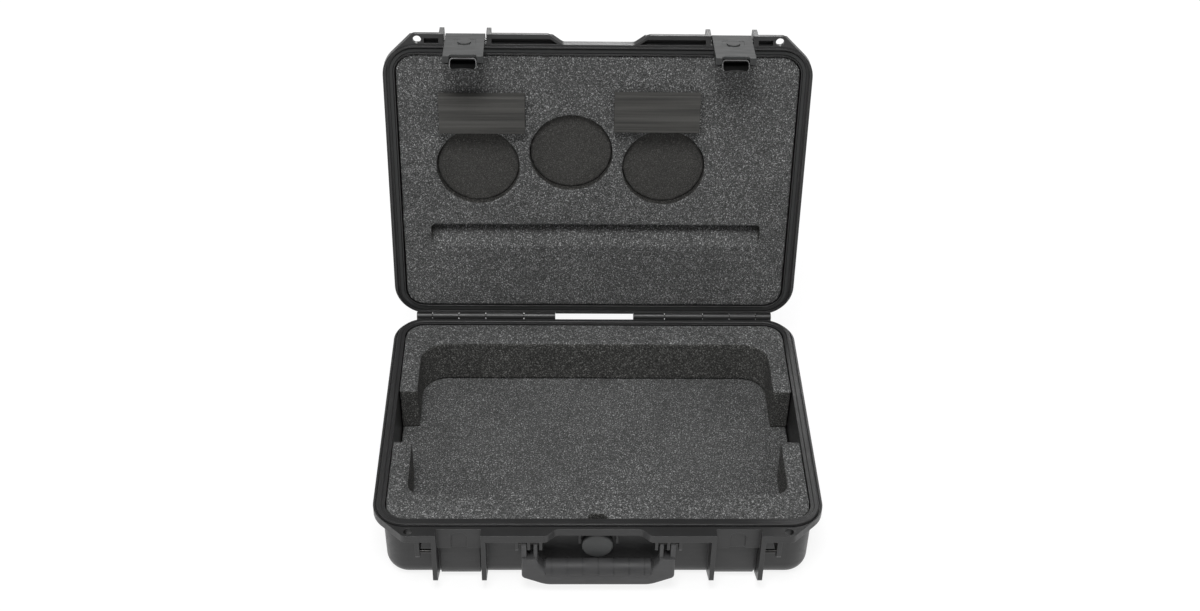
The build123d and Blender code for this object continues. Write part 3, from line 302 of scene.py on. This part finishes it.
# The base foam: a flat pad on the floor of the tub, and on it a thick sheet cut through as a
# ring. Closed-cell foam, sliced, with pale flecks painted on its face as the glint of its open
# cells, and darker, smoother cut walls.
# The front half and the back half of the ring are two pieces.
sheet_up = Vector((0, 0, 1))
foam_dark = (0.015, 0.0152, 0.0152, 1)
foam_mid = (0.090, 0.0912, 0.0908, 1)
# Pale flecks on the foam's face: a painted glint off its open cells.
foam_painted_glint = (0.47, 0.475, 0.475, 1)
wall_shade = (0.74, 0.73, 0.70, 1)
cell_size = 0.0015
bubbles_per_cell = 1.15
clumps_per_cell = 0.22
wash_scale = 18.0
foam_shine = 0.25
hollow_size = 0.055
hollow_depth = 0.0006
torn_size = 0.005
torn_depth = 0.00025
weld_gap = 1e-5
pad_mesh_size = 0.003
sheet_mesh_size = 0.002


def sliced_foam(name, face, dark, mid, painted_glint, shade, cell):
    """Sliced foam: cell walls with a painted glint and dark pits on its face, darker and smoother on cut
    sides.
    """
    finish, tree, shader, place = new_finish(name)
    shader.inputs["Specular IOR Level"].default_value = foam_shine
    fine = add_node(
        tree, "TexNoise", {"Vector": place, "Scale": 1 / cell, "Detail": 3.0, "Roughness": 0.75}
    )
    cells = add_node(
        tree, "TexVoronoi", {"Vector": place, "Scale": bubbles_per_cell / cell, "Randomness": 1.0}
    )
    clumps = add_node(tree, "TexNoise", {"Vector": place, "Scale": clumps_per_cell / cell, "Detail": 3.0})
    wash = add_node(tree, "TexNoise", {"Vector": place, "Scale": wash_scale, "Detail": 3.0})
    bright_cells = eased(tree, fine.outputs[0], 0.36, 0.66)
    lit_cells = add_node(
        tree, "Math", {0: bright_cells, 1: cells.outputs["Color"]}, operation="MULTIPLY"
    )
    speckled = mixed(tree, eased(tree, fine.outputs[0], 0.3, 0.56), dark, mid)
    # The picked cells take the pale fleck colour: a painted glint.
    glinting = mixed(tree, eased(tree, lit_cells.outputs[0], 0.3, 0.75), speckled, painted_glint)
    clumped = mixed(tree, eased(tree, clumps.outputs[0], 0.62, 0.36, 0.0, 0.2), glinting, dark)
    washed = mixed(tree, eased(tree, wash.outputs[0], 0.6, 0.4, 0.0, 0.15), clumped, dark)
    shaded = {0: 1.0, 6: washed, 7: shade}
    cut = add_node(tree, "Mix", shaded, data_type="RGBA", blend_type="MULTIPLY").outputs[2]
    own_normal = add_node(tree, "TexCoord").outputs["Normal"]
    facing = add_node(tree, "VectorMath", {0: own_normal, 1: face}, operation="DOT_PRODUCT")
    on_face = eased(tree, facing.outputs["Value"], 0.35, 0.8)
    tree.links.new(mixed(tree, on_face, cut, washed), shader.inputs["Base Color"])
    tree.links.new(eased(tree, lit_cells.outputs[0], 0.1, 0.8, 0.95, 0.6), shader.inputs["Roughness"])
    torn_face = eased(tree, on_face, 0, 1, 0.3, 0.8)
    relief = add_node(
        tree, "Bump", {"Height": fine.outputs[0], "Strength": torn_face, "Distance": cell * 0.6}
    )
    tree.links.new(relief.outputs[0], shader.inputs["Normal"])
    return finish


def foam_piece(node, finish, body, mesh_size, soften=4, pressed=hollow_depth):
    """A foam piece's own mesh: small even faces over its solid's space, with cut edges gone soft,
    slow hollows where it has been pressed, and torn cells that only ever go inwards."""
    form = bmesh.new()
    form.from_mesh(nodes[node].data)
    bmesh.ops.remove_doubles(form, verts=form.verts, dist=weld_gap)
    blank = bpy.data.meshes.new(node + "_blank")
    form.to_mesh(blank)
    form.free()
    piece = bpy.data.objects.new(node + "_piece", blank)
    scene.collection.objects.link(piece)
    even = piece.modifiers.new("even", "REMESH")
    even.mode = "VOXEL"
    even.voxel_size = mesh_size
    even.use_smooth_shade = True
    soft = piece.modifiers.new("soft", "SMOOTH")
    soft.factor = 0.5
    soft.iterations = soften
    shaped = bpy.data.meshes.new_from_object(piece.evaluated_get(bpy.context.evaluated_depsgraph_get()))
    piece.modifiers.clear()
    piece.data = shaped
    inwards = [vertex.normal.copy() for vertex in shaped.vertices]
    for vertex, normal in zip(shaped.vertices, inwards):
        hollow = pressed * (0.5 + 0.5 * noise.noise(vertex.co / hollow_size))
        torn = torn_depth * (0.5 + 0.5 * noise.noise(vertex.co / torn_size))
        vertex.co -= normal * (hollow + torn)
    shaped.materials.clear()
    shaped.materials.append(finish)
    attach(piece, body)
    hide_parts(node)
    return piece


base_foam = sliced_foam("base_foam", sheet_up, foam_dark, foam_mid, foam_painted_glint, wall_shade, cell_size)
foam_piece("base_foam_pad", base_foam, "base", pad_mesh_size)
foam_piece("base_foam_front", base_foam, "base", sheet_mesh_size)
foam_piece("base_foam_back", base_foam, "base", sheet_mesh_size)

# The hinge pins: long steel rods, dark like the strap bars, one on each side of the back. Each
# is driven through the knuckles of the base and the lid in turn.
dress(black_steel, "hinge_pin_left", "hinge_pin_right")

# The lid shell: the shallower moulding of the pair, in the same black plastic, with its hinge
# knuckles and its channel for the gasket moulded in one with it.
dress(shell_plastic, "lid_shell")

# The lid's gasket: a soft extruded rubber cord, joined into a ring and pressed into the channel
# round the lid's rim.
dress(seal_rubber, "lid_gasket")

# The lid foam: a sheet of the same foam, glued over a backing of finer foam that shows as the
# floor of its round cut-outs.
lid_open = next(joint["range_deg"][1] for joint in frame["joints"] if joint["name"] == "lid_hinge")
sheet_out = Vector((0, -sin(radians(lid_open)), -cos(radians(lid_open))))
fine_dark = (0.022, 0.022, 0.021, 1)
fine_mid = (0.052, 0.051, 0.048, 1)
# Pale flecks on the fine foam: a painted glint off its cells.
fine_painted_glint = (0.12, 0.117, 0.112, 1)
fine_cell = 0.0012
lid_wall_shade = (0.36, 0.35, 0.33, 1)
fine_wall_shade = (0.6, 0.6, 0.6, 1)
backing_mesh_size = 0.004
disc_mesh_size = 0.0015
lid_foam = sliced_foam("lid_foam", sheet_out, foam_dark, foam_mid, foam_painted_glint, lid_wall_shade, cell_size)
fine_foam = sliced_foam("fine_foam", sheet_out, fine_dark, fine_mid, fine_painted_glint, fine_wall_shade, fine_cell)
foam_piece("lid_foam_backing", fine_foam, "lid", backing_mesh_size)
foam_piece("lid_foam_discs", fine_foam, "lid", disc_mesh_size, pressed=0.0)
foam_piece("lid_foam_liner", lid_foam, "lid", sheet_mesh_size)

# The two foam blocks: sawn off a dense plank, so fine saw lines run along them, and glued to
# the lid foam above the round cut-outs.
sawn_dark = (0.036, 0.0355, 0.034, 1)
sawn_mid = (0.068, 0.067, 0.063, 1)
sawn_pale = (0.100, 0.099, 0.094, 1)
saw_line_scale = (6.0, 420.0, 420.0)
saw_line_depth = 0.0004
band_scale = (2.0, 110.0, 110.0)
dense_cell_scale = 1500.0
block_mesh_size = 0.0008


def sawn_finish(name):
    """Sawn foam: long parallel saw lines in shade and height, over very fine cells."""
    finish, tree, shader, place = new_finish(name)
    shader.inputs["Specular IOR Level"].default_value = foam_shine
    along = add_node(tree, "Mapping", {"Vector": place, "Scale": saw_line_scale})
    saw = {"Vector": along.outputs[0], "Scale": 1.0, "Detail": 4.0, "Roughness": 0.6}
    lines = add_node(tree, "TexNoise", saw)
    bands_along = add_node(tree, "Mapping", {"Vector": place, "Scale": band_scale})
    bands = add_node(tree, "TexNoise", {"Vector": bands_along.outputs[0], "Scale": 1.0, "Detail": 2.0})
    fine = add_node(tree, "TexNoise", {"Vector": place, "Scale": dense_cell_scale, "Detail": 2.0})
    lined = mixed(tree, eased(tree, lines.outputs[0], 0.35, 0.65), sawn_dark, sawn_mid)
    banded = mixed(tree, eased(tree, bands.outputs[0], 0.5, 0.75, 0.0, 0.55), lined, sawn_pale)
    grained = mixed(tree, eased(tree, fine.outputs[0], 0.55, 0.75, 0.0, 0.3), banded, sawn_dark)
    tree.links.new(grained, shader.inputs["Base Color"])
    tree.links.new(eased(tree, lines.outputs[0], 0.3, 0.7, 0.75, 0.92), shader.inputs["Roughness"])
    relief = add_node(tree, "Bump", {"Height": lines.outputs[0], "Strength": 0.5, "Distance": saw_line_depth})
    tree.links.new(relief.outputs[0], shader.inputs["Normal"])
    return finish


sawn_foam = sawn_finish("sawn_foam")
for hand in ("left", "right"):
    foam_piece(
        f"foam_block_{hand}", sawn_foam, "lid", block_mesh_size, soften=1, pressed=0.0
    )

# The latches: a grey moulded body on a steel pin, with a black trigger that slides in its open
# end against two small coil springs.
grey_colour = (0.023, 0.024, 0.024, 1)
grey_pale = (0.030, 0.031, 0.031, 1)
# Paler latch edges: partly wear, partly a painted highlight.
grey_edge_wear_and_highlight = (0.09, 0.093, 0.093, 1)
drawn_colour = (0.42, 0.42, 0.42, 1)
drawn_dull = (0.26, 0.26, 0.26, 1)
grey_plastic = moulded("grey_plastic", grey_colour, grey_pale, grey_edge_wear_and_highlight, (0.58, 0.7))
pin_steel = drawn_steel("pin_steel", drawn_colour, drawn_dull)
for hand in ("left", "right"):
    dress(pin_steel, f"latch_pin_{hand}", f"trigger_springs_{hand}")
    dress(grey_plastic, f"latch_body_{hand}")
    dress(jet_plastic, f"latch_trigger_{hand}")

# The carrying handle: a moulded frame on two steel pins, with a ribbed rubber sleeve moulded
# over its bar.
handle_colour = (0.040, 0.040, 0.041, 1)
handle_pale = (0.052, 0.052, 0.053, 1)
grip_colour = (0.030, 0.030, 0.031, 1)
grip_pale = (0.042, 0.042, 0.043, 1)
handle_plastic = moulded("handle_plastic", handle_colour, handle_pale, shell_edge_wear_and_highlight, (0.45, 0.6))
grip_rubber = rubbery("grip_rubber", grip_colour, grip_pale, (0.55, 0.72))
dress(handle_plastic, "handle_frame")
dress(grip_rubber, "handle_grip")
dress(black_steel, "handle_pin_left", "handle_pin_right")
